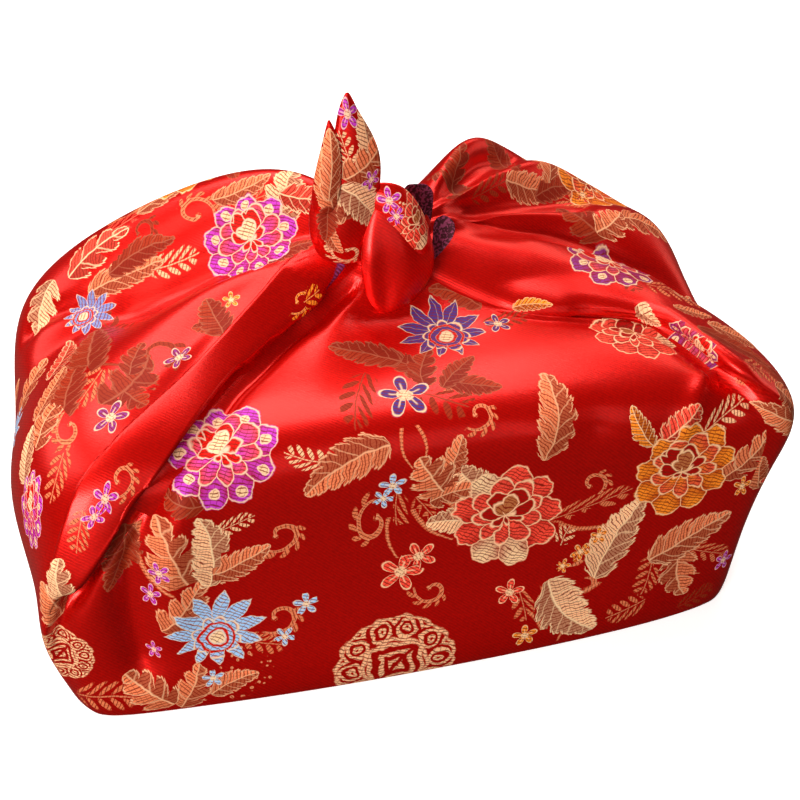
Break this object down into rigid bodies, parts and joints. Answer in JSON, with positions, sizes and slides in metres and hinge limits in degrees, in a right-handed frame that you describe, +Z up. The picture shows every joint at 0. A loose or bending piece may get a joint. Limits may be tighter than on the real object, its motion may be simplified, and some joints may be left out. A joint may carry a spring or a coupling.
{
  "type": "furoshiki wrap",
  "caption": "Square satin brocade cloth wrapped and knotted around an oblong box: flat base, gathered side wings, folded front band and a knot with free tails on top.",
  "frame": {"origin": "on the floor, under the middle of the box that the cloth wraps", "axes": "+X along the bundle's length to the viewer's right, +Y to the back, +Z up through the knot"},
  "size_m": [0.3316, 0.1787, 0.236],
  "materials": {
    "red_satin_brocade": "red satin ground with woven gold, purple, blue, coral and orange flowers, leaves and scrolls"
  },
  "bodies": {
    "root": {"furoshiki_cloth": "red_satin_brocade"}
  },
  "joints": []
}
